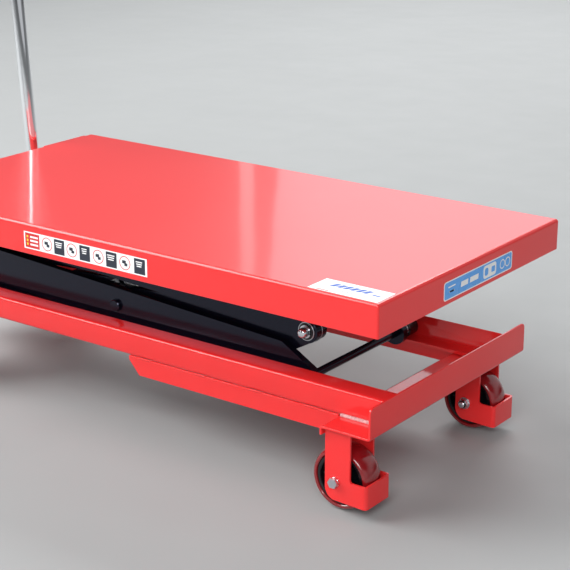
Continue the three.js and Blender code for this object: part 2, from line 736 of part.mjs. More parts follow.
function footPedal() {
  const tipX = frontX - reach;
  const arms = new THREE.Shape();
  arms.moveTo(pedalX + 3, pedal.pivotZ - 12);
  arms.lineTo(plungerX, pedal.pivotZ + 1);
  arms.lineTo(tipX + pedal.padDepth, pedal.tipZ - 15);
  arms.lineTo(tipX + 8, pedal.tipZ - 4);
  arms.lineTo(tipX + 8, pedal.tipZ + 2);
  arms.lineTo(tipX + pedal.padDepth, pedal.tipZ + 2);
  arms.lineTo(plungerX - 8, pedal.pivotZ + 24);
  arms.absarc(pedalX, pedal.pivotZ, 13, Math.PI / 2, -1.3, true);
  const pad = block(tipX, tipX + pedal.padDepth, -pedal.padHalf, pedal.padHalf, pedal.tipZ, pedal.tipZ + 6);
  const lever = join(plateXZ(arms, -9, 9, 10), pad);
  return cut(lever, rodY(6 + running, -10, 10, pedalX, pedal.pivotZ, 20));
}

const leverX = frontX - handle.topSetback + leanOf(leverHinge.z) + leverHinge.out;

function leverClamp() {
  const y = handle.y;
  const post = (r, z0, z1) => rodBetween(r, uprightPoint(1, z0), uprightPoint(1, z1));
  const ears = [-1, 1].map((side) => {
    const [y0, y1] = spanY(side, 5.5, 9.5);
    return plateXZ(
      polygon([
        [leverX - 14, leverHinge.z - 12],
        [leverX + 8, leverHinge.z - 8],
        [leverX + 8, leverHinge.z + 8],
        [leverX - 14, leverHinge.z + 12],
      ]),
      y + y0,
      y + y1,
    );
  });
  const pin = rodY(3, y - 11, y + 11, leverX, leverHinge.z, 16);
  const ring = cut(post(18, leverHinge.z - 14, leverHinge.z + 14), post(handle.radius + gap, 820, 900));
  return join(ring, ...ears, pin);
}

function releaseLever() {
  const y = handle.y;
  const shape = new THREE.Shape();
  const { z } = leverHinge;
  shape.moveTo(leverX - 4, z - 9);
  shape.lineTo(leverX + 10, z - 9);
  shape.lineTo(leverX + 14, z + 10);
  shape.lineTo(leverX + 22, z + 92);
  shape.absarc(leverX + 17, z + 93, 5, 0, Math.PI);
  shape.lineTo(leverX - 3, z + 12);
  const blank = plateXZ(shape, y - 5, y + 5, 6);
  return cut(blank, rodY(3 + running, y - 6, y + 6, leverX, z, 16));
}

add("pump_block", pumpBlock(), red);
add("pump_plunger", rodZ(9, pump.bottom + 40, pedal.pivotZ - 2, plungerX, 0, 20), chrome);
add("foot_pedal", footPedal(), black);
add("lever_clamp", leverClamp(), zinc);
add("release_lever", releaseLever(), black);

export default table;
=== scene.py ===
"""Looks of a double-scissor lift table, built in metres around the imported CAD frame."""
import math

import bmesh
import bpy
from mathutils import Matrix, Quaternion, Vector


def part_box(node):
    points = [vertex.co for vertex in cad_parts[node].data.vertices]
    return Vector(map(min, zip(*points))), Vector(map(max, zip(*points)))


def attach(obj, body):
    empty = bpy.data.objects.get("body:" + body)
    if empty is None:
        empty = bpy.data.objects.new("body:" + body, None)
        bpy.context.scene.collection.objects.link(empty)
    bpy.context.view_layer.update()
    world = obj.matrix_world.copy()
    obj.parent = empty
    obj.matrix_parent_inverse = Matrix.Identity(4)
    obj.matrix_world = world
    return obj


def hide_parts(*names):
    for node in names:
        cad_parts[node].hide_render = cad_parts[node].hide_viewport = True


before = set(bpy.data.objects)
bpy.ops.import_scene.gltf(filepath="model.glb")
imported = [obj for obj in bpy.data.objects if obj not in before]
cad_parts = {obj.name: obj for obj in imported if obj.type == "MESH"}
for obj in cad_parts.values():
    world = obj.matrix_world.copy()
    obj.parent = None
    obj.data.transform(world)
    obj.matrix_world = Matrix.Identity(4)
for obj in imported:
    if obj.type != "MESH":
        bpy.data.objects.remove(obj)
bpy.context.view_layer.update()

SIDES = (("near", -1), ("far", 1))
X, Y, Z = Vector((1, 0, 0)), Vector((0, 1, 0)), Vector((0, 0, 1))


def centre(node):
    low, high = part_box(node)
    return (low + high) / 2


# ---- materials ----------------------------------------------------------------------------
def surface(name, color, rough, metallic=0.0, tone=0.06, tone_scale=18, smudge=0.05,
            smudge_scale=9, relief=(), **sockets):
    """A Principled surface whose colour, roughness and relief vary with noise that sits on the piece.

    relief lists (noise scale, height in metres); sockets are uniform numbers set on the shader.
    """
    made = bpy.data.materials.new(name)
    made.use_nodes = True
    tree = made.node_tree
    shader = tree.nodes["Principled BSDF"]
    shader.inputs["Metallic"].default_value = metallic
    for socket, value in sockets.items():
        shader.inputs[socket.replace("_", " ")].default_value = value
    place = tree.nodes.new("ShaderNodeTexCoord")

    def noise(scale, detail=0):
        node = tree.nodes.new("ShaderNodeTexNoise")
        node.inputs["Scale"].default_value = scale
        node.inputs["Detail"].default_value = detail
        tree.links.new(place.outputs["Object"], node.inputs["Vector"])
        return node.outputs["Fac"]

    mix = tree.nodes.new("ShaderNodeMix")
    mix.data_type = "RGBA"
    tree.links.new(noise(tone_scale, 2), mix.inputs["Factor"])
    mix.inputs["A"].default_value = [c * (1 - tone) for c in color] + [1]
    mix.inputs["B"].default_value = [min(c * (1 + tone), 1) for c in color] + [1]
    tree.links.new(mix.outputs["Result"], shader.inputs["Base Color"])
    spread = tree.nodes.new("ShaderNodeMapRange")
    spread.inputs["From Min"].default_value = 0.3
    spread.inputs["From Max"].default_value = 0.7
    spread.inputs["To Min"].default_value = max(rough - smudge, 0.01)
    spread.inputs["To Max"].default_value = rough + smudge
    tree.links.new(noise(smudge_scale, 2), spread.inputs["Value"])
    tree.links.new(spread.outputs["Result"], shader.inputs["Roughness"])
    normal = None
    for scale, height in relief:
        bump = tree.nodes.new("ShaderNodeBump")
        bump.inputs["Strength"].default_value = 1
        bump.inputs["Distance"].default_value = height
        tree.links.new(noise(scale), bump.inputs["Height"])
        if normal:
            tree.links.new(normal, bump.inputs["Normal"])
        normal = bump.outputs["Normal"]
    if normal:
        tree.links.new(normal, shader.inputs["Normal"])
        if sockets.get("Coat_Weight"):
            tree.links.new(normal, shader.inputs["Coat Normal"])
    return made


RED = (0.8, 0.024, 0.025)
ORANGE_PEEL = (420, 0.000008)
red = surface("red_powder_coat", RED, 0.36, tone=0.04, smudge=0.04, relief=(ORANGE_PEEL,),
              Specular_IOR_Level=0.12, Coat_Weight=0.9, Coat_Roughness=0.05)
deck_red = surface("red_deck_coat", RED, 0.3, tone=0.02, tone_scale=3, smudge=0.02, smudge_scale=3,
                   relief=((5, 0.0002), (14, 0.00007)), Specular_IOR_Level=0.3, Coat_Weight=0.55,
                   Coat_Roughness=0.07)
black = surface("black_gloss_coat", (0.003, 0.003, 0.007), 0.16, tone=0.2, smudge=0.03,
                relief=((160, 0.000006),), Specular_IOR_Level=0.36, Specular_Tint=(0.66, 0.7, 1, 1))
zinc = surface("zinc_plate", (0.62, 0.64, 0.68), 0.3, 1.0, tone=0.12, tone_scale=60, smudge=0.09,
               smudge_scale=70, relief=((900, 0.000004),))
chrome = surface("chrome_plate", (0.85, 0.86, 0.88), 0.05, 1.0, tone=0.02, smudge=0.02)
satin = surface("ground_rod", (0.74, 0.79, 0.83), 0.26, 0.45, tone=0.05, tone_scale=80, smudge=0.05)
ground = surface("ground_pin", (0.66, 0.68, 0.72), 0.2, 1.0, tone=0.08, tone_scale=90, smudge=0.06)
# pale pink paint for the foot welds: a painted highlight standing in for the glint on the beads
weld_highlight_paint = surface("weld_painted_highlight", (0.8, 0.4, 0.4), 0.3, tone=0.6, tone_scale=220, smudge=0.1,
               relief=((240, 0.0008),))
steel = surface("machined_steel", (0.5, 0.5, 0.52), 0.28, 1.0, tone=0.1, tone_scale=120,
                smudge=0.08, relief=((1500, 0.000003),))
tyre = surface("polyurethane", (0.22, 0.006, 0.009), 0.1, tone=0.2, tone_scale=40, smudge=0.1,
               smudge_scale=55, relief=((300, 0.00001),), Coat_Weight=0.8, Coat_Roughness=0.08)
nylon = surface("black_nylon", (0.005, 0.005, 0.007), 0.26, tone=0.2, smudge=0.08,
                relief=((700, 0.000008),))
rubber = surface("black_rubber", (0.022, 0.022, 0.023), 0.72, tone=0.25, tone_scale=90,
                 relief=((1200, 0.00002),))
film = surface("label_film", (0.86, 0.86, 0.86), 0.3, tone=0.02, Coat_Weight=0.3)
ink_dark = surface("dark_ink", (0.02, 0.024, 0.04), 0.35, tone=0.1)
ink_red = surface("red_ink", (0.6, 0.02, 0.02), 0.35, tone=0.05)
ink_yellow = surface("yellow_ink", (0.85, 0.6, 0.03), 0.35, tone=0.05)
ink_navy = surface("navy_ink", (0.02, 0.10, 0.48), 0.5, tone=0.05)
ink_blue = surface("blue_ink", (0.09, 0.36, 0.84), 0.3, tone=0.05, Coat_Weight=0.3)


# ---- mesh building ------------------------------------------------------------------------
def axes_of(axis):
    """Two directions square to an axis, and the axis itself."""
    along = Vector(axis).normalized()
    side = X if abs(along.x) < 0.9 else Z
    side = (side - along * side.dot(along)).normalized()
    return side, along.cross(side), along


def skin(bm, low, high, material):
    """Faces between two rings of points; a ring of one point makes a fan."""
    count = max(len(low), len(high))
    for i in range(count):
        j = (i + 1) % count
        quad = [low[i % len(low)], low[j % len(low)], high[j % len(high)], high[i % len(high)]]
        bm.faces.new(list(dict.fromkeys(quad))).material_index = material


def lathe(bm, profile, middle, axis=Y, sides=48, material=0):
    """Turns (radius, height) points about an axis; the profile closes or ends on the axis."""
    side, up, along = axes_of(axis)
    rings = []
    for radius, height in profile:
        base = Vector(middle) + along * height
        if radius < 1e-7:
            rings.append([bm.verts.new(base)])
            continue
        turns = [2 * math.pi * i / sides for i in range(sides)]
        rings.append([bm.verts.new(base + (side * math.cos(t) + up * math.sin(t)) * radius)
                      for t in turns])
    for low, high in zip(rings, rings[1:]):
        skin(bm, low, high, material)
    if len(rings[0]) > 1:
        skin(bm, rings[-1], rings[0], material)


def prism(bm, outline, origin, u, v, depth, material=0):
    """An outline drawn along u and v, made thick by the vector depth."""
    low = [bm.verts.new(Vector(origin) + u * a + v * b) for a, b in outline]
    high = [bm.verts.new(p.co + depth) for p in low]
    bm.faces.new(low).material_index = material
    bm.faces.new(high).material_index = material
    skin(bm, low, high, material)


def block(bm, low, high):
    size = Vector(high) - Vector(low)
    prism(bm, [(0, 0), (size.x, 0), (size.x, size.y), (0, size.y)], low, X, Y, Z * size.z)


def sweep(bm, path, radius, sides=24):
    """A round bar along a path; radius is one number or one for each point."""
    path = [Vector(p) for p in path]
    radii = [radius] * len(path) if isinstance(radius, (int, float)) else radius
    side = axes_of(path[1] - path[0])[0]
    rings = []
    for i, point in enumerate(path):
        along = (path[min(i + 1, len(path) - 1)] - path[max(i - 1, 0)]).normalized()
        side = (side - along * side.dot(along)).normalized()
        up = along.cross(side)
        turns = [2 * math.pi * k / sides for k in range(sides)]
        rings.append([bm.verts.new(point + (side * math.cos(t) + up * math.sin(t)) * radii[i])
                      for t in turns])
    for low, high in zip(rings, rings[1:]):
        skin(bm, low, high, 0)
    bm.faces.new(rings[0])
    bm.faces.new(rings[-1])


def rounded(width, height, radius, steps=6):
    """The outline of a rectangle with round corners, its middle at the origin."""
    points = []
    for quarter, (sx, sy) in enumerate(((1, 1), (-1, 1), (-1, -1), (1, -1))):
        for i in range(steps + 1):
            t = math.pi / 2 * (quarter + i / steps)
            points.append((sx * (width / 2 - radius) + radius * math.cos(t),
                           sy * (height / 2 - radius) + radius * math.sin(t)))
    return points


def shell(bm, middle, width, depth, corner, section):
    """A folded pan: its section lists (inset, z) from under the top, round the hem, to the top."""
    rings = []
    for inset, z in section:
        outline = rounded(width - 2 * inset, depth - 2 * inset, max(corner - inset, 0.0004))
        rings.append([bm.verts.new((middle.x + x, middle.y + y, z)) for x, y in outline])
    for low, high in zip(rings, rings[1:]):
        skin(bm, low, high, 0)
    for end in (rings[0], rings[-1]):
        bm.faces.new(end)


def hollow_prism(bm, outer, inner, origin, u, v, depth):
    """The band between two outlines with as many points, made thick by the vector depth."""
    loops = [[bm.verts.new(Vector(origin) + u * a + v * b + shift) for a, b in outline]
             for shift in (Vector(), depth) for outline in (outer, inner)]
    for low, high in ((0, 1), (1, 3), (3, 2), (2, 0)):
        skin(bm, loops[low], loops[high], 0)


def arc(cx, cy, radius, start, end, steps=6):
    turns = [math.radians(start + (end - start) * i / steps) for i in range(steps + 1)]
    return [(cx + radius * math.cos(t), cy + radius * math.sin(t)) for t in turns]


def soften(obj, width, segments):
    """Rounds the edges where faces meet at more than 28 degrees."""
    bevel = obj.modifiers.new("edges", "BEVEL")
    bevel.width = width
    bevel.segments = segments
    bevel.limit_method = "ANGLE"
    bevel.angle_limit = math.radians(28)
    bevel.harden_normals = True


def piece(name, body, materials, make, replaces=(), bevel=0.0, sharp=35):
    """Makes a piece with make(bm), gives it its materials and joins it to its body."""
    bm = bmesh.new()
    make(bm)
    bmesh.ops.recalc_face_normals(bm, faces=bm.faces)
    mesh = bpy.data.meshes.new(name)
    bm.to_mesh(mesh)
    bm.free()
    for material in materials:
        mesh.materials.append(material)
    mesh.shade_smooth()
    if not bevel:
        mesh.set_sharp_from_angle(angle=math.radians(sharp))
    obj = bpy.data.objects.new(name, mesh)
    bpy.context.scene.collection.objects.link(obj)
    if bevel:
        soften(obj, bevel, 2)
    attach(obj, body)
    if replaces:
        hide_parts(*replaces)
    return obj


def refine(node, material, width):
    """Keeps a CAD node's shape, and rounds its edges and paints it."""
    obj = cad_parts[node]
    mesh = obj.data
    mesh.materials.clear()
    mesh.materials.append(material)
    if "custom_normal" in mesh.attributes:
        mesh.attributes.remove(mesh.attributes["custom_normal"])
    mesh.shade_smooth()
    weld = obj.modifiers.new("weld", "WELD")
    weld.merge_threshold = 0.00001
    flat = obj.modifiers.new("flat", "DECIMATE")
    flat.decimate_type = "DISSOLVE"
    flat.angle_limit = math.radians(0.5)
    soften(obj, width, 3)


# ---- fasteners and turned parts -----------------------------------------------------------
def hexagon(bm, middle, axis, across, height):
    """Chamfered hexagon standing on its middle point."""
    r = across / math.sqrt(3)
    lathe(bm, [(0, 0), (r * 0.96, 0), (r, height * 0.1), (r, height * 0.8), (r * 0.9, height),
               (0, height)], middle, axis, 6)


def washer(bm, middle, axis, inner, outer, thick, material=0):
    c = min(thick, outer - inner) * 0.22
    lathe(bm, [(inner, c), (inner + c, 0), (outer - c, 0), (outer, c), (outer, thick - c),
               (outer - c, thick), (inner + c, thick), (inner, thick - c)], middle, axis, 40, material)


def thread(radius, start, length, pitch=0.001):
    """Profile points of a screw thread, drawn as close rings."""
    points = []
    for i in range(int(length / pitch)):
        points += [(radius * 0.89, start + i * pitch), (radius, start + (i + 0.5) * pitch)]
    return points


def clip(bm, middle, axis, inner, outer, thick):
    """An open retaining ring, widest opposite its gap."""
    side, up, along = axes_of(axis)
    opening, steps = math.radians(50), 30
    turns = [opening / 2 + (2 * math.pi - opening) * i / steps for i in range(steps + 1)]
    wide = [outer - (outer - inner) * 0.3 * abs(math.cos(t / 2)) for t in turns]
    ring = [(r * math.cos(t), r * math.sin(t)) for r, t in zip(wide, turns)]
    ring += [(inner * math.cos(t), inner * math.sin(t)) for t in reversed(turns)]
    prism(bm, ring, middle, side, up, along * thick)


def pin_profile(radius, half, chamfer=0.001, groove=None):
    """Half of a turned pin, from its middle out to one end, with a centre-drilled face."""
    points = [(radius, 0)]
    if groove:
        place, wide, deep = groove
        points += [(radius, place), (radius - deep, place), (radius - deep, place + wide),
                   (radius, place + wide)]
    drill = radius * 0.3
    return points + [(radius, half - chamfer), (radius - chamfer, half), (drill, half),
                     (drill * 0.4, half - drill * 0.9), (0, half - drill * 1.1)]


def headed(radius, half, chamfer=0.001, _groove=None):
    """As pin_profile, but with a flat head at its end and no groove."""
    head, seat = radius + 0.0022, half - 0.0056
    return [(radius, 0), (radius, seat), (head, seat), (head, half - chamfer), (head - chamfer, half),
            (0, half)]


def domed(radius, half, round_end=0.005, groove=None):
    """As pin_profile, but its end is rounded off like a bullet's."""
    neck = pin_profile(radius, half, groove=groove)[:5 if groove else 1]
    crown = arc(radius - round_end, half - round_end, round_end, 0, 80, 8)
    return neck + crown + [(0, half)]


def turned_pin(node, body, material, chamfer=0.001, groove=None, end=pin_profile):
    low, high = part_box(node)
    radius = (high.z - low.z) / 2
    out = end(radius, (high.y - low.y) / 2, chamfer, groove)
    profile = [(r, -h) for r, h in reversed(out)] + out[1:]
    return piece(node + "_turned", body, [material], lambda bm: lathe(bm, profile, centre(node)),
                 [node])


def weld_bead(bm, start, end, radius, pitch=0.004):
    """A rippled bead between two points."""
    start, end = Vector(start), Vector(end)
    steps = max(int((end - start).length / pitch * 6), 6)
    path = [start.lerp(end, i / steps) for i in range(steps + 1)]
    radii = [radius * (1 + 0.1 * math.sin(i * math.pi / 3)) for i in range(steps + 1)]
    radii[0] = radii[-1] = radius * 0.55
    sweep(bm, path, radii, 12)


# ---- camera, light and floor --------------------------------------------------------------
def make_camera():
    data = bpy.data.cameras.new("camera")
    data.lens, data.sensor_width = 100.46, 36
    data.clip_end = 60
    obj = bpy.data.objects.new("camera", data)
    obj.location = (1.69559, -1.94589, 1.0496)
    yaw, pitch, roll = -0.6384, 0.321, 0.0012    # radians
    forward = Vector((math.sin(yaw) * math.cos(pitch), math.cos(yaw) * math.cos(pitch),
                      -math.sin(pitch)))
    obj.rotation_mode = "QUATERNION"
    obj.rotation_quaternion = Quaternion(forward, roll) @ forward.to_track_quat("-Z", "Y")
    bpy.context.scene.collection.objects.link(obj)
    bpy.context.scene.camera = obj


def area_light(name, place, target, size, power, tint=(1, 1, 1)):
    data = bpy.data.lights.new(name, "AREA")
    data.shape = "RECTANGLE"
    data.size, data.size_y = size
    data.energy = power
    data.color = tint
    obj = bpy.data.objects.new(name, data)
    obj.location = place
    obj.rotation_mode = "QUATERNION"
    obj.rotation_quaternion = (Vector(target) - Vector(place)).to_track_quat("-Z", "Y")
    bpy.context.scene.collection.objects.link(obj)


def make_world():
    """A grey room: broad soft patches of light and dark all round, without any edges."""
    world = bpy.data.worlds.new("soft_room")
    world.use_nodes = True
    tree = world.node_tree
    place = tree.nodes.new("ShaderNodeTexCoord")
    patches = tree.nodes.new("ShaderNodeTexNoise")
    patches.inputs["Scale"].default_value = 1.6
    patches.inputs["Detail"].default_value = 0
    spread = tree.nodes.new("ShaderNodeMapRange")
    spread.inputs["From Min"].default_value = 0.35
    spread.inputs["From Max"].default_value = 0.62
    spread.inputs["To Min"].default_value = 0.06
    spread.inputs["To Max"].default_value = 0.55
    sky = tree.nodes["Background"]
    sky.inputs["Color"].default_value = (0.94, 0.97, 1, 1)
    tree.links.new(place.outputs["Generated"], patches.inputs["Vector"])
    tree.links.new(patches.outputs["Fac"], spread.inputs["Value"])
    tree.links.new(spread.outputs["Result"], sky.inputs["Strength"])
    bpy.context.scene.world = world


def make_stage():
    floor_mat = surface("pale_floor", (0.345, 0.355, 0.355), 0.7, tone=0.04, tone_scale=3)
    bm = bmesh.new()
    block(bm, (-9, -9, -0.02), (9, 9, 0))
    mesh = bpy.data.meshes.new("floor")
    bm.to_mesh(mesh)
    bm.free()
    mesh.materials.append(floor_mat)
    floor = bpy.data.objects.new("floor", mesh)
    bpy.context.scene.collection.objects.link(floor)
    area_light("overhead", (-3.0, -1.9, 3.1), (-0.2, 0, 0.2), (3.6, 3.2), 290)
    area_light("key", (2.2, -3.5, 2.5), (0.1, 0, 0.25), (2.6, 2.0), 135)
    area_light("back_glow", (-2.05, 5.0, 2.4), (0.2, 0, 0.35), (2.5, 2.2), 21, (0.95, 0.94, 1))
    area_light("streak", (-3.73, 5.0, 2.2), (0.2, 0, 0.35), (0.08, 2.4), 0.7)
    area_light("far_floor", (-1.5, 4.2, 4.2), (-1.5, 3.8, 0), (4, 3), 240)
    bpy.context.scene.view_settings.view_transform = "Standard"


make_camera()
make_world()
make_stage()

# ---- painted plate work kept from the CAD -------------------------------------------------
def pan_mesh(bm):
    """Folded sheet with round bends, a hair inside its node so that labels can lie on it."""
    low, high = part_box("deck_pan")
    hair, bend, sheet = 0.00018, 0.0055, 0.003
    low, high = low + Vector((hair, hair, 0)), high - Vector((hair, hair, 0))
    inside = [(sheet + x, z) for x, z in arc(bend - sheet, high.z - bend, bend - sheet, 90, 180)]
    outside = arc(bend, high.z - bend, bend, 180, 90, 10)
    hem = [(sheet, low.z + 0.0006), (sheet - 0.0006, low.z), (0.0006, low.z), (0, low.z + 0.0006)]
    shell(bm, (low + high) / 2, high.x - low.x, high.y - low.y, 0.0035, inside + hem + outside)


pan = piece("deck_pan_folded", "deck", [deck_red], pan_mesh, ["deck_pan"], sharp=40)
pan.modifiers.new("flat", "WEIGHTED_NORMAL").keep_sharp = True
for name, side in SIDES:
    refine(f"deck_rail_{name}", red, 0.0022)
    refine(f"deck_ear_{name}", red, 0.0008)
    refine(f"base_channel_{name}", red, 0.0007)
    refine(f"side_strip_{name}", red, 0.0008)
    refine(f"fixed_fork_{name}", red, 0.0009)
    refine(f"swivel_plate_{name}", zinc, 0.0008)
    refine(f"swivel_fork_{name}", zinc, 0.0009)
    refine(f"brake_pedal_{name}", rubber, 0.001)
    for level in ("lower", "upper"):
        for place in ("outer", "inner"):
            refine(f"{level}_{place}_arm_{name}", black, 0.0012)
refine("front_cross_member", red, 0.0012)
refine("rear_cross_member", red, 0.0012)
refine("lift_bridge", black, 0.001)
refine("pump_block", red, 0.0016)
refine("foot_pedal", black, 0.0012)
refine("lever_clamp", zinc, 0.0008)
refine("release_lever", black, 0.001)
refine("cylinder_barrel", red, 0.0009)
refine("pump_plunger", chrome, 0.0006)
refine("cylinder_rod", satin, 0.0006)

# ---- pins, shafts and rollers -------------------------------------------------------------
ARM_FACE = 0.128
MID_GROOVE = (ARM_FACE + 0.0027, 0.0013, 0.0007)
for node, body in (("mid_front_shaft", "lower_inner"), ("mid_rear_shaft", "lower_outer")):
    turned_pin(node, body, ground, 0.0055, MID_GROOVE, domed)
for level, body in (("lower", "lower_inner"), ("upper", "upper_outer")):
    turned_pin(f"{level}_centre_shaft", body, black, 0.0014, end=headed)
for node, body in (("base_pivot_shaft", "base"), ("deck_pivot_shaft", "deck")):
    turned_pin(node, body, zinc, 0.0012, (0.1395, 0.0013, 0.0007))
for node, body in (("base_roller_shaft", "lower_outer"), ("deck_roller_shaft", "upper_inner")):
    turned_pin(node, body, black, 0.0008)


def rings_on(bm, node, face, inner, outer, thick):
    """A washer on each side of the table, lying on a face at that distance from the middle."""
    for _, side in SIDES:
        middle = centre(node) + Y * side * face
        washer(bm, middle, Y * side, inner, outer, thick)


def clips_on(bm, node, face, inner, outer):
    for _, side in SIDES:
        clip(bm, centre(node) + Y * side * face, Y * side, inner, outer, 0.0012)


def mid_rings(bm, node):
    """Zinc ring round a plastic washer, a painted highlight for the washer's bright edge; a clip, and the
    thrust ring between the arms.
    """
    # zinc ring: a painted highlight standing in for the bright edge of the dark washer
    rings_on(bm, node, ARM_FACE + 0.0003, 0.0134, 0.0147, 0.0016)
    clips_on(bm, node, ARM_FACE + 0.0028, 0.0073, 0.0108)
    rings_on(bm, node, 0.1148, 0.0150, 0.0203, 0.0009)


for node, body in (("mid_front_shaft", "lower_inner"), ("mid_rear_shaft", "lower_outer")):
    piece(node + "_rings", body, [zinc], lambda bm: mid_rings(bm, node))
    piece(node + "_washers", body, [nylon],
          lambda bm: rings_on(bm, node, ARM_FACE + 0.0003, 0.0083, 0.0133, 0.0022))
for node, body in (("base_pivot_shaft", "base"), ("deck_pivot_shaft", "deck")):
    piece(node + "_clips", body, [zinc], lambda bm, n=node: clips_on(bm, n, 0.1395, 0.0094, 0.0132))

ROLLER_IN, ROLLER_OUT = 0.1415, 0.167
for level, body, shaft, arm_face in (("base", "lower_outer", "base_roller_shaft", 0.128),
                                     ("deck", "upper_inner", "deck_roller_shaft", 0.1145)):
    low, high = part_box(shaft)
    bore = (high.z - low.z) / 2

    def spacers(bm, shaft=shaft, bore=bore, arm_face=arm_face):
        rings_on(bm, shaft, arm_face + 0.0003, bore + 0.0002, bore + 0.0035, ROLLER_IN - arm_face - 0.0028)
        rings_on(bm, shaft, ROLLER_IN - 0.0022, bore + 0.0002, bore + 0.0058, 0.0018)
        rings_on(bm, shaft, ROLLER_OUT + 0.0003, bore + 0.0002, bore + 0.0050, 0.0012)

    piece(f"{level}_roller_spacers", body, [zinc], spacers)
    for name, side in SIDES:
        node = f"{level}_roller_{name}"
        low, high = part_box(node)
        half, radius = (high.y - low.y) / 2, (high.z - low.z) / 2
        profile = [(bore + 0.0004, -half + 0.0006), (bore + 0.001, -half), (bore + 0.0032, -half),
                   (bore + 0.0036, -half + 0.0012), (radius - 0.0032, -half + 0.0012),
                   (radius - 0.0028, -half), (radius - 0.0012, -half), (radius, -half + 0.0012)]
        profile += [(r, -h) for r, h in reversed(profile)]
        piece(node + "_turned", node, [nylon],
              lambda bm, p=profile, n=node: lathe(bm, p, centre(n), sides=64), [node])


# ---- wheels -------------------------------------------------------------------------------
def tread_profile(half, radius, rim):
    """Crowned tread, half an ellipse on short straight sides, closed along its seat on the core."""
    crown, steps = 0.0062, 20
    points = [(rim, -half + 0.0012), (rim + 0.001, -half)]
    for i in range(steps + 1):
        t = math.pi * (i / steps - 0.5)
        points.append((radius - crown + crown * math.cos(t), half * math.sin(t)))
    return points + [(rim + 0.001, half), (rim, half - 0.0012)]


def core_mesh(bm, middle, half, rim, bore):
    hub, web, inner = 0.0150, 0.0045, 0.0335
    side = [(bore, half - 0.001), (bore + 0.0006, half - 0.0004), (hub - 0.001, half - 0.0004),
            (hub, half - 0.0014), (hub + 0.0012, web + 0.0035), (hub + 0.003, web),
            (inner - 0.002, web), (inner, web + 0.003), (inner + 0.0008, half - 0.003),
            (inner + 0.0018, half - 0.0018), (rim - 0.0008, half - 0.0018), (rim, half - 0.0028)]
    lathe(bm, side + [(r, -h) for r, h in reversed(side)], middle, Y, 64)
    ribs = 8
    for i in range(ribs):
        t = 2 * math.pi * i / ribs
        u = X * math.cos(t) + Z * math.sin(t)
        v = X * -math.sin(t) + Z * math.cos(t)
        outline = [(hub - 0.001, -0.0014), (inner + 0.001, -0.0014), (inner + 0.001, 0.0014),
                   (hub - 0.001, 0.0014)]
        depth = 2 * (half - 0.007)
        prism(bm, outline, Vector(middle) - Y * depth / 2, u, v, Y * depth)


def bearing_mesh(bm, middle, half):
    for _, side in SIDES:
        face = Vector(middle) + Y * side * (half - 0.0042)
        washer(bm, face, Y * side, 0.0055, 0.0078, 0.0044)
        washer(bm, face, Y * side, 0.0112, 0.0132, 0.0042)
        lathe(bm, [(0.0079, 0.0008), (0.0079, 0.0026), (0.0095, 0.0034), (0.0111, 0.0026),
                   (0.0111, 0.0008)], face, Y * side, 40, 1)


def axle_mesh(bm, middle, outward, face):
    """Bolt, washers and lock nut; the head is on the outward side."""
    out = Y * outward
    r = 0.005
    shank = [(0, -face - 0.0118), (r * 0.8, -face - 0.0118)]
    shank += thread(r, -face - 0.0115, 0.010) + [(r, -face - 0.0012), (r, face + 0.003), (0, face + 0.003)]
    lathe(bm, shank, middle, out, 32)
    washer(bm, middle + out * face, out, r, 0.0078, 0.0016)
    hexagon(bm, middle + out * (face + 0.0016), out, 0.0152, 0.0060)
    washer(bm, middle - out * face, -out, r, 0.0098, 0.0012)
    hexagon(bm, middle - out * (face + 0.0012), -out, 0.0155, 0.0062)
    lathe(bm, [(r + 0.0002, 0), (0.0066, 0), (0.0066, 0.0016), (0.0058, 0.0026), (r + 0.0002, 0.0026)],
          middle - out * (face + 0.0072), -out, 36, 1)


FORK_FACE, CORE_BORE = 0.0323, 0.0135
for kind, axle_body in (("fixed", "base"), ("swivel", "caster")):
    for name, side in SIDES:
        wheel_body = f"{kind}_wheel_{name}"
        tread, core = f"{kind}_tread_{name}", f"{kind}_core_{name}"
        low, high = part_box(tread)
        half, radius = (high.y - low.y) / 2, (high.z - low.z) / 2
        rim_low, rim_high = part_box(core)
        rim = (rim_high.z - rim_low.z) / 2
        middle = centre(tread)
        middle.z = low.z + radius
        piece(tread + "_moulded", wheel_body, [tyre],
              lambda bm: lathe(bm, tread_profile(half, radius, rim + 0.0003), middle, Y, 112),
              [tread])
        piece(core + "_moulded", wheel_body, [nylon],
              lambda bm: core_mesh(bm, middle, half, rim, CORE_BORE), [core], 0.0004)
        piece(f"{kind}_bearings_{name}", wheel_body, [steel, nylon],
              lambda bm: bearing_mesh(bm, middle, half))
        body = axle_body if kind == "fixed" else f"caster_{name}"
        piece(f"{kind}_axle_bolt_{name}", body, [zinc, nylon],
              lambda bm: axle_mesh(bm, middle, side, FORK_FACE), [f"{kind}_axle_{name}"])


# ---- push handle --------------------------------------------------------------------------
LEAN = math.radians(3.94)
CORNER = 0.075


def handle_mesh(bm):
    low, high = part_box("push_handle")
    r = 0.0125
    reach = high.y - r
    top = Vector((low.x + r, 0, high.z - r))
    down = Vector((math.sin(LEAN), 0, -math.cos(LEAN)))
    foot = (high.z - r - 0.119) / math.cos(LEAN)
    half = [Y * reach + top + down * (foot + (CORNER - foot) * i / 8) for i in range(8)]
    bend = top + down * CORNER + Y * (reach - CORNER)
    for i in range(25):
        t = math.pi / 2 * i / 24
        half.append(bend + (Y * math.cos(t) - down * math.sin(t)) * CORNER)
    other = [Vector((p.x, -p.y, p.z)) for p in reversed(half)]
    sweep(bm, half + other, r, 48)


piece("push_handle_tube", "base", [chrome], handle_mesh, ["push_handle"], sharp=60)

# ---- welds --------------------------------------------------------------------------------
SHELF_TOP, CHANNEL_OUT = 0.1358, 0.1757
FIXED_X, SWIVEL_X, WHEEL_Y, FORK_HALF = 0.502, -0.36, 0.185, 0.032


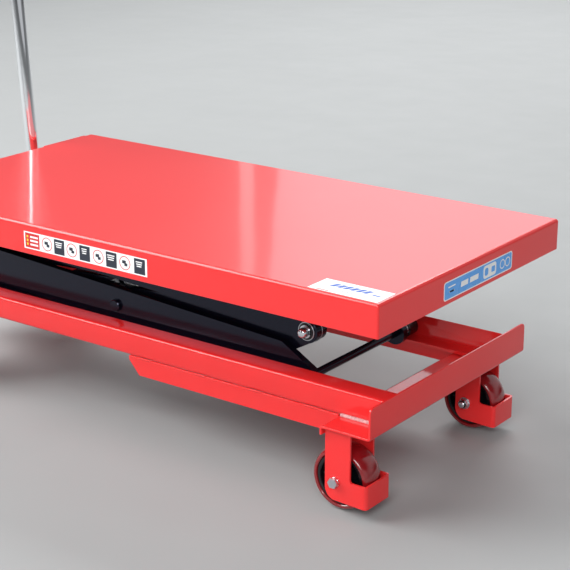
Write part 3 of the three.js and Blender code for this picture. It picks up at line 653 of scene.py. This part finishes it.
def base_welds(bm):
    for _, side in SIDES:
        y = side * CHANNEL_OUT
        weld_bead(bm, (-0.432, y, SHELF_TOP + 0.0008), (-0.310, y, SHELF_TOP + 0.0008), 0.0021)
        for x in (0.5626, -0.4348):
            weld_bead(bm, (x, y, 0.139), (x, y, 0.171), 0.0019)
            weld_bead(bm, (x, y - side * 0.006, 0.1764), (x, side * 0.1405, 0.1764), 0.0016)
        for x in (0.09, 0.2, 0.31, 0.415):
            weld_bead(bm, (x, y, 0.1361), (x + 0.028, y, 0.1361), 0.0014)
        inner, outer = side * (WHEEL_Y - FORK_HALF), side * (WHEEL_Y + FORK_HALF)
        for y in (inner, outer):
            weld_bead(bm, (FIXED_X - 0.0165, y, 0.1308), (FIXED_X + 0.018, y, 0.1308), 0.0017)
        for x in (FIXED_X - 0.0172, FIXED_X + 0.0262):
            weld_bead(bm, (x, side * 0.162, 0.1308), (x, side * 0.208, 0.1308), 0.0017)


def deck_welds(bm):
    under = 0.3502
    for _, side in SIDES:
        for y in (0.1376, 0.1694):
            for x in (0.13, 0.24, 0.35, 0.42):
                weld_bead(bm, (x, side * y, under), (x + 0.026, side * y, under), 0.0016)
        for y in (0.1292, 0.1388):
            weld_bead(bm, (-0.402, side * y, under), (-0.366, side * y, under), 0.0018)


def foot_welds(bm):
    """The wide beads at the channels' feet, painted pale pink as a painted highlight for the glint on them.
    """
    for _, side in SIDES:
        start, end = (Vector((x, side * (CHANNEL_OUT + 0.0006), 0.1370)) for x in (0.484, 0.535))
        weld_bead(bm, start, end, 0.0029, 0.003)


piece("base_welds", "base", [red], base_welds, sharp=60)
piece("foot_welds", "base", [weld_highlight_paint], foot_welds, sharp=60)
piece("deck_welds", "deck", [red], deck_welds, sharp=60)


# ---- stiffeners under the deck ------------------------------------------------------------
def deck_ribs(bm):
    """Three folded hats along the deck and one cross strip at each end, open underneath."""
    hat = [(-0.022, 0), (-0.014, 0), (-0.011, -0.016), (0.011, -0.016), (0.014, 0), (0.022, 0),
           (0.022, -0.002), (0.0155, -0.002), (0.0125, -0.018), (-0.0125, -0.018),
           (-0.0155, -0.002), (-0.022, -0.002)]
    for y in (-0.062, 0, 0.062):
        prism(bm, hat, (-0.36, y, 0.3508), Y, Z, X * 0.9)
    for x in (-0.398, 0.570):
        prism(bm, hat, (x, -0.25, 0.3508), X, Z, Y * 0.11)
        prism(bm, hat, (x, 0.14, 0.3508), X, Z, Y * 0.11)


piece("deck_ribs", "deck", [red], deck_ribs, bevel=0.0005)


# ---- casters ------------------------------------------------------------------------------
def plate_bolts(bm, side):
    for dx in (-0.038, 0.038):
        for y, seat in ((0.155, 0.1414), (0.215, 0.1361)):
            x, y = SWIVEL_X + dx, side * y
            washer(bm, Vector((x, y, 0.1276)), -Z, 0.0042, 0.0082, 0.0011)
            hexagon(bm, Vector((x, y, 0.1265)), -Z, 0.013, 0.0042)
            washer(bm, Vector((x, y, seat)), Z, 0.0042, 0.0082, 0.0011)
            hexagon(bm, Vector((x, y, seat + 0.0011)), Z, 0.013, 0.0052)
            lathe(bm, [(0, seat), (0.004, seat)] + thread(0.004, seat + 0.001, 0.008) + [(0, seat + 0.0092)],
                  (x, y, 0), Z, 20)


def races(bm, side):
    """Pressed upper race with the ball groove showing as a bead, and its dust lip."""
    middle = (SWIVEL_X, side * WHEEL_Y, 0.1214)
    lathe(bm, [(0.026, 0.0005), (0.0325, 0.0005), (0.0345, 0.0018), (0.0345, 0.0042),
               (0.0325, 0.0060), (0.026, 0.0060)], middle, Z, 72)


def kingpin(bm, side):
    middle = Vector((SWIVEL_X, side * WHEEL_Y, 0.1169))
    washer(bm, middle, -Z, 0.006, 0.0125, 0.0016)
    hexagon(bm, middle - Z * 0.0016, -Z, 0.017, 0.0065)
    lathe(bm, [(0, 0), (0.0055, 0), (0.0055, 0.0098), (0.0045, 0.0108), (0, 0.0108)], middle, -Z, 24)


def brake_ribs(bm, side):
    """Grip ribs across the sloping pad."""
    pin_x, slope = SWIVEL_X - 0.051, 10 / 38
    for i in range(6):
        x = pin_x - 0.018 - 0.0052 * i
        z = 0.115 - (pin_x - 0.012 - x) * slope
        block(bm, (x - 0.0011, side * WHEEL_Y - 0.0175, z - 0.0008),
              (x + 0.0011, side * WHEEL_Y + 0.0175, z + 0.0012))


for name, side in SIDES:
    piece(f"swivel_plate_bolts_{name}", "base", [zinc], lambda bm: plate_bolts(bm, side))
    piece(f"swivel_races_{name}", "base", [zinc], lambda bm: races(bm, side))
    piece(f"kingpin_nut_{name}", f"caster_{name}", [zinc], lambda bm: kingpin(bm, side))
    piece(f"brake_ribs_{name}", f"brake_{name}", [rubber], lambda bm: brake_ribs(bm, side),
          bevel=0.0003)

# ---- hydraulic cylinder -------------------------------------------------------------------
PIVOT, ROD_PIN = Vector((-0.38379, 0, 0.1563)), Vector((-0.055, 0, 0.204))
THRUST = (ROD_PIN - PIVOT).normalized()


def gland(bm):
    """Black gland nut over the front of the barrel."""
    lathe(bm, [(0.0157, 0.2502), (0.0157, 0.2535), (0.0175, 0.2545), (0.0262, 0.2545),
               (0.0276, 0.2532), (0.0276, 0.2300), (0.0271, 0.2290), (0.0271, 0.2502)],
          PIVOT, THRUST, 64)


def barrel_fittings(bm):
    """Oil port near the pivot with a blanked union, and a bleed screw."""
    up = axes_of(THRUST)[1]
    up = up if up.z > 0 else -up
    for along, size in ((0.085, 1.0), (0.216, 0.62)):
        seat = PIVOT + THRUST * along + up * 0.0266
        lathe(bm, [(0, 0), (0.009 * size, 0), (0.009 * size, 0.0035), (0.005 * size, 0.0035),
                   (0, 0.0035)], seat, up, 32)
        hexagon(bm, seat + up * 0.0035, up, 0.013 * size, 0.006 * size)
        lathe(bm, [(0, 0), (0.0038 * size, 0), (0.0038 * size, 0.004), (0, 0.0046)],
              seat + up * (0.0035 + 0.006 * size), up, 20)


def rod_clips(bm):
    for _, side in SIDES:
        washer(bm, ROD_PIN + Y * side * 0.0353, Y * side, 0.0081, 0.0115, 0.0012)


piece("cylinder_gland", "barrel", [nylon], gland)
piece("cylinder_fittings", "barrel", [zinc], barrel_fittings)
piece("rod_pin_rings", "rod", [zinc], rod_clips)

TILT = math.radians(3.153)
ARM_ALONG = Vector((math.cos(TILT), 0, -math.sin(TILT)))
ARM_UP = Vector((math.sin(TILT), 0, math.cos(TILT)))


def wear_plates(bm):
    """Bright wear plates round the slots of the bridge's lugs."""
    for _, side in SIDES:
        hollow_prism(bm, rounded(0.061, 0.040, 0.013), rounded(0.0462, 0.0282, 0.0085),
                     ROD_PIN + Y * side * 0.0341, ARM_ALONG, ARM_UP, Y * side * 0.0010)


piece("bridge_wear_plates", "lower_outer", [satin], wear_plates, bevel=0.0002)


# ---- pump, pedal and lever ----------------------------------------------------------------
def pump_fittings(bm):
    for _, side in SIDES:
        out = Y * side
        for x, z, across in ((-0.497, 0.110, 0.012), (-0.458, 0.110, 0.009), (-0.458, 0.145, 0.009)):
            seat = Vector((x, side * 0.0421, z))
            washer(bm, seat, out, across * 0.3, across * 0.72, 0.0012)
            hexagon(bm, seat + out * 0.0012, out, across, 0.0045)
    back = Vector((-0.5121, 0, 0))
    for y, z in ((-0.027, 0.105), (0.027, 0.105), (-0.027, 0.147), (0.027, 0.147)):
        lathe(bm, [(0, 0), (0.0052, 0), (0.0055, 0.0004), (0.0055, 0.0042), (0.005, 0.0048),
                   (0.0028, 0.0048), (0.0028, 0.002), (0, 0.002)], back + Y * y + Z * z, -X, 32)
    seat = back + Z * 0.118
    hexagon(bm, seat, -X, 0.019, 0.006)
    lathe(bm, [(0, 0.006), (0.0062, 0.006), (0.0062, 0.012), (0.0045, 0.0135), (0, 0.0135)], seat, -X, 32)
    top = Vector((-0.458, 0.030, 0.1601))
    hexagon(bm, top, Z, 0.015, 0.007)
    lathe(bm, [(0, 0.007), (0.0045, 0.007), (0.0045, 0.011), (0, 0.012)], top, Z, 24)
    pin = Vector((-0.456, 0, 0.184))
    for _, side in SIDES:
        clip(bm, pin + Y * side * 0.0186, Y * side, 0.0055, 0.0086, 0.0010)


def plunger_seal(bm):
    lathe(bm, [(0.0095, 0), (0.0142, 0), (0.0142, 0.003), (0.0128, 0.0042), (0.0105, 0.0042),
               (0.0095, 0.0032)], (-0.492, 0, 0.1601), Z, 48)


def pedal_cover(bm):
    """Rubber tread on the pedal: a thin mat with cross ribs."""
    x0, x1, half, top = -0.5985, -0.5535, 0.0435, 0.2321
    block(bm, (x0, -half, top), (x1, half, top + 0.0016))
    for i in range(7):
        x = x0 + 0.0035 + 0.0062 * i
        block(bm, (x, -half + 0.002, top + 0.0012), (x + 0.0030, half - 0.002, top + 0.0034))


HINGE = Vector((-0.4791, 0.159, 0.858))


def lever_grip(bm):
    """Moulded sleeve on the upper two thirds of the lever, with finger rings."""
    low, high = HINGE + Vector((0.0085, 0, 0.030)), HINGE + Vector((0.0175, 0, 0.0965))
    steps = 48
    path = [low.lerp(high, i / steps) for i in range(steps + 1)]
    radii = [0.0108 + 0.0005 * math.cos(i * math.pi / 4) - 0.002 * (i / steps) for i in range(steps + 1)]
    radii[0], radii[-1], radii[-2] = 0.0098, 0.0048, 0.0078
    sweep(bm, path, radii, 32)


def lever_hardware(bm):
    """Hinge rings, the clamp's pinch bolt and the cable's adjuster under the lever."""
    for _, side in SIDES:
        hinge = HINGE + Y * side * 0.0096
        washer(bm, hinge, Y * side, 0.0031, 0.0068, 0.001)
        hexagon(bm, hinge + Y * side * 0.001, Y * side, 0.0105, 0.0038)
    post = HINGE + Vector((-0.0275, 0, 0))
    for _, side in SIDES:
        hexagon(bm, post + Y * side * 0.0178 - Z * 0.005, Y * side, 0.0095, 0.004)
    seat = HINGE + Vector((-0.0035, 0, -0.0125))
    hexagon(bm, seat, -Z, 0.009, 0.005)
    stem = [(0, 0)] + thread(0.003, 0.001, 0.014) + [(0.0034, 0.0155), (0.0034, 0.022), (0, 0.022)]
    lathe(bm, stem, seat, -Z, 24)


def sleeve_bolts(bm):
    """Through bolts that hold the handle's feet in their sleeves."""
    for _, side in SIDES:
        foot = Vector((-0.5145 + (0.98 - 0.163) * math.tan(LEAN), side * 0.159, 0.163))
        for out in (Y, -Y):
            washer(bm, foot + out * 0.0166, out, 0.0042, 0.0085, 0.0013)
            hexagon(bm, foot + out * 0.0179, out, 0.013, 0.0052)


piece("pump_fittings", "base", [zinc], pump_fittings)
piece("plunger_seal", "base", [rubber], plunger_seal)
piece("pedal_cover", "pedal", [rubber], pedal_cover, bevel=0.0004)
piece("lever_grip", "release", [rubber], lever_grip, sharp=60)
piece("lever_hardware", "base", [zinc], lever_hardware)
piece("sleeve_bolts", "base", [zinc], sleeve_bolts)


# ---- generic labels -----------------------------------------------------------------------
INKS = [film, ink_red, ink_yellow, ink_dark, ink_blue, ink_navy]
WHITE, RED_INK, YELLOW, DARK, BLUE, NAVY = range(len(INKS))
FIRST_INK, SECOND_INK, THIRD_INK = 0.0001, 0.00013, 0.00016    # heights above the deck's faces


class Label:
    """A film on a flat face, with flat inks on it placed by fractions of its size."""

    def __init__(self, bm, middle, u, v, width, height, corner, lift=0.00002):
        self.bm, self.u, self.v, self.size = bm, u, v, (width, height)
        self.middle, self.out = Vector(middle), u.cross(v)
        self.lift = lift
        self.patch(0.5, 0.5, width, height, WHITE, corner, 0.00008)

    def place(self, a, b):
        return (self.middle + self.out * self.lift + self.u * ((a - 0.5) * self.size[0])
                + self.v * ((b - 0.5) * self.size[1]))

    def patch(self, a, b, width, height, ink, corner=0.0003, thick=0.00003, slant=0.0):
        """A patch centred at fractions a and b of the label, standing at its present lift."""
        outline = [(x + slant * y, y) for x, y in rounded(width, height, corner, 4)]
        prism(self.bm, outline, self.place(a, b), self.u, self.v, self.out * thick, ink)

    def ring(self, a, b, radius, band, ink):
        washer(self.bm, self.place(a, b), self.out, radius - band, radius, 0.00003, ink)


def skirt_label(bm):
    """Nine cells: a red one with bars, then rings and dark squares by turns."""
    label = Label(bm, (0.0605, -0.25982, 0.327), X, Z, 0.257, 0.028, 0.0006)
    squares = ((0.298, 0.0145), (0.508, 0.0110), (0.722, 0.0155), (0.943, 0.0125))
    label.lift = FIRST_INK
    label.patch(0.071, 0.5, 0.0310, 0.0238, RED_INK)
    for a in (0.195, 0.402, 0.617, 0.828):
        label.ring(a, 0.5, 0.0110, 0.0013, RED_INK)
        label.patch(a - 0.006, 0.56, 0.0075, 0.0050, DARK)
        label.patch(a + 0.008, 0.42, 0.0060, 0.0045, DARK)
    for a, _ in squares:
        label.patch(a, 0.5, 0.0218, 0.0240, DARK)
    label.lift = SECOND_INK
    for row in (0.72, 0.5, 0.28):
        label.patch(0.086, row, 0.0170, 0.0030, WHITE)
        label.patch(0.030, row, 0.0036, 0.0036, YELLOW)
    for a, width in squares:
        for i, row in enumerate((0.74, 0.62, 0.50)):
            label.patch(a - 0.004, row, width * (1 - 0.12 * i), 0.0017, WHITE, slant=0.4)


def top_label(bm):
    """White film by the front corner of the deck: slanted blue bars, a thin line and a red dash."""
    label = Label(bm, (0.5360, -0.2306, 0.354), X, Y, 0.1150, 0.0470, 0.0008)
    label.lift = FIRST_INK
    for i in range(6):
        label.patch(0.24 + 0.093 * i, 0.62, 0.0082, 0.0130, NAVY, 0.0008, slant=0.45)
    label.patch(0.86, 0.50, 0.0120, 0.0040, NAVY, slant=0.4)
    label.patch(0.60, 0.26, 0.0420, 0.0012, DARK)
    label.patch(0.20, 0.07, 0.0200, 0.0026, RED_INK)


def end_label(bm):
    """Blue film with a white border and plain shapes, on the deck's front face."""
    label = Label(bm, (0.59982, 0.0095, 0.32475), Y, Z, 0.199, 0.0285, 0.0048)
    label.lift = FIRST_INK
    label.patch(0.5, 0.5, 0.1950, 0.0250, BLUE, 0.0036)
    label.lift = SECOND_INK
    label.patch(0.11, 0.66, 0.0200, 0.0020, WHITE)
    for slant in (0.9, -0.9):
        label.patch(0.11, 0.40, 0.0130, 0.0024, WHITE, slant=slant)
    label.patch(0.29, 0.5, 0.0200, 0.0080, WHITE, slant=0.1)
    label.patch(0.43, 0.5, 0.0240, 0.0080, WHITE, slant=0.1)
    label.patch(0.66, 0.5, 0.0380, 0.0200, WHITE, 0.0050)
    for a in (0.85, 0.93):
        label.ring(a, 0.5, 0.0075, 0.0016, WHITE)
    label.lift = THIRD_INK
    label.patch(0.61, 0.5, 0.0105, 0.0120, BLUE, 0.0040)
    label.patch(0.71, 0.5, 0.0105, 0.0090, BLUE, 0.0020)


for name, make in (("skirt_label", skirt_label), ("top_label", top_label), ("end_label", end_label)):
    piece(name, "deck", INKS, make)
